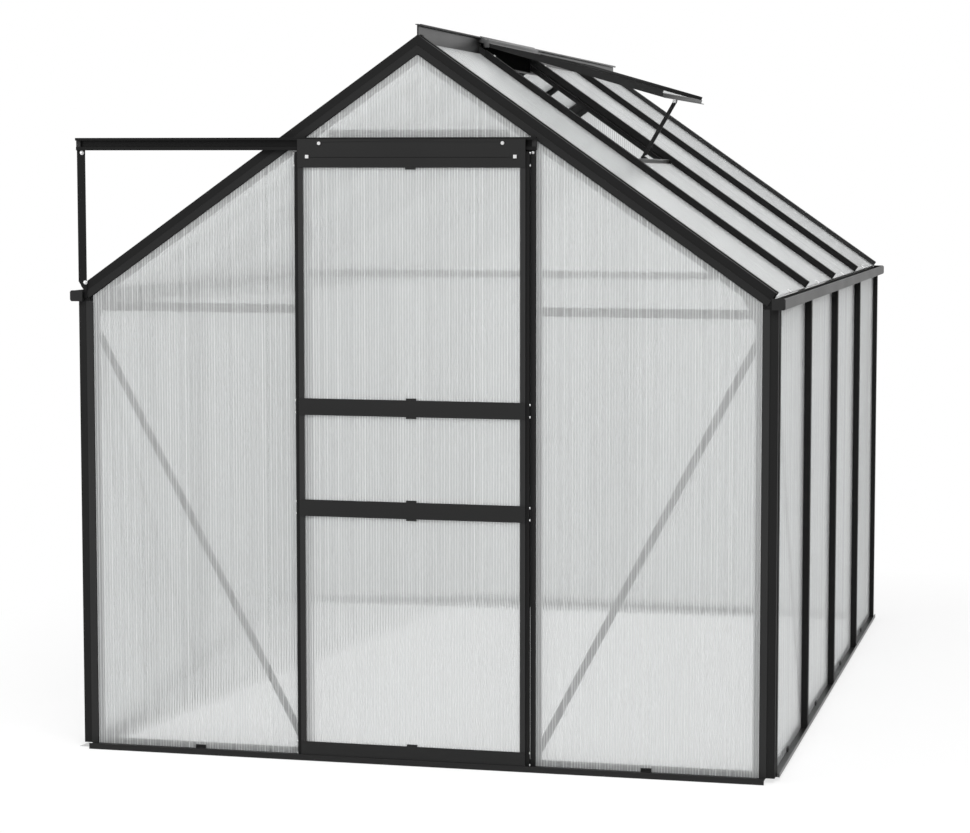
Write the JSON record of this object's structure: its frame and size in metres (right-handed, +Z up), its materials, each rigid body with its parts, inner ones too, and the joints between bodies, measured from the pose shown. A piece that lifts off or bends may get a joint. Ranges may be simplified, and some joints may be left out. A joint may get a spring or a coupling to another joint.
{
  "type": "apex greenhouse",
  "caption": "Free-standing apex greenhouse: dark aluminium frame, translucent twin-wall panels, sliding gable door and an opening roof vent.",
  "frame": {"origin": "middle of the footprint's bounding box, on the ground under the base sills", "axes": "+X to the right seen from the door, +Y from the door gable to the rear gable, +Z up"},
  "size_m": [1.93, 2.588, 1.9452],
  "materials": {
    "coated_frame": "satin near-black powder coat",
    "panel": "translucent twin-wall sheet",
    "black_plastic": "satin black plastic",
    "nylon": "black nylon",
    "bright_steel": "bright bolt heads"
  },
  "bodies": {
    "frame": {"front_sill": "coated_frame", "rear_sill": "coated_frame", "left_sill": "coated_frame", "right_sill": "coated_frame", "sill_corner_brackets": "coated_frame", "front_left_post": "coated_frame", "front_right_post": "coated_frame", "rear_left_post": "coated_frame", "rear_right_post": "coated_frame", "front_left_rafter": "coated_frame", "front_right_rafter": "coated_frame", "rear_left_rafter": "coated_frame", "rear_right_rafter": "coated_frame", "rafter_end_plugs": "black_plastic", "left_gutter": "coated_frame", "right_gutter": "coated_frame", "gutter_end_caps": "black_plastic", "ridge_bar": "coated_frame", "left_wall_bars": "coated_frame", "right_wall_bars": "coated_frame", "left_roof_bars": "coated_frame", "right_roof_bars": "coated_frame", "roof_bar_covers": "black_plastic", "wall_bar_covers": "black_plastic", "door_posts": "coated_frame", "rear_gable_posts": "coated_frame", "door_lintel": "coated_frame", "gable_cross_bars": "coated_frame", "diagonal_braces": "coated_frame", "front_side_panels": "panel", "front_top_panel": "panel", "rear_panels": "panel", "left_wall_panels": "panel", "right_wall_panels": "panel", "left_roof_panels": "panel", "right_roof_panels": "panel", "sill_glazing_clips": "black_plastic", "door_track": "coated_frame", "door_track_stops": "nylon", "track_strut": "coated_frame", "vent_sill": "coated_frame", "vent_stay_peg": "coated_frame"},
    "door": {"door_left_stile": "coated_frame", "door_right_stile": "coated_frame", "door_header": "coated_frame", "door_mid_rails": "coated_frame", "door_bottom_rail": "coated_frame", "door_panels": "panel", "door_glazing_clips": "black_plastic", "door_guide_blocks": "nylon", "door_roller_axles": "bright_steel", "door_header_bolts": "bright_steel"},
    "left_roller": {"door_left_roller": "nylon"},
    "right_roller": {"door_right_roller": "nylon"},
    "vent": {"vent_hinge_rail": "coated_frame", "vent_side_bars": "coated_frame", "vent_bottom_rail": "coated_frame", "vent_panel": "panel", "vent_stay_bracket": "coated_frame"},
    "stay": {"vent_stay": "coated_frame"}
  },
  "joints": [
    {"name": "door_slide", "type": "slide", "parent": "frame", "child": "door", "axis": [-1, 0, 0], "range_m": [0, 0.59]},
    {"name": "left_roller_spin", "type": "hinge", "parent": "door", "child": "left_roller", "pos_m": [-0.2595, -1.281, 1.63581], "axis": [0, 1, 0], "range_deg": [-3980, 0]},
    {"name": "right_roller_spin", "type": "hinge", "parent": "door", "child": "right_roller", "pos_m": [0.2335, -1.281, 1.63581], "axis": [0, 1, 0], "range_deg": [-3980, 0]},
    {"name": "vent_hinge", "type": "hinge", "parent": "frame", "child": "vent", "pos_m": [0.008, -0.31275, 1.9402], "axis": [0, -1, 0], "range_deg": [-19, 0]},
    {"name": "stay_fold", "type": "hinge", "parent": "vent", "child": "stay", "pos_m": [0.50838, -0.31275, 1.76967], "axis": [0, -1, 0], "range_deg": [-41.9, 0]}
  ],
  "couplings": [
    {"joint": "left_roller_spin", "follows": "door_slide", "rad_per_m": -117.65},
    {"joint": "right_roller_spin", "follows": "door_slide", "rad_per_m": -117.65},
    {"joint": "stay_fold", "follows": "vent_hinge", "ratio": 2.2}
  ]
}
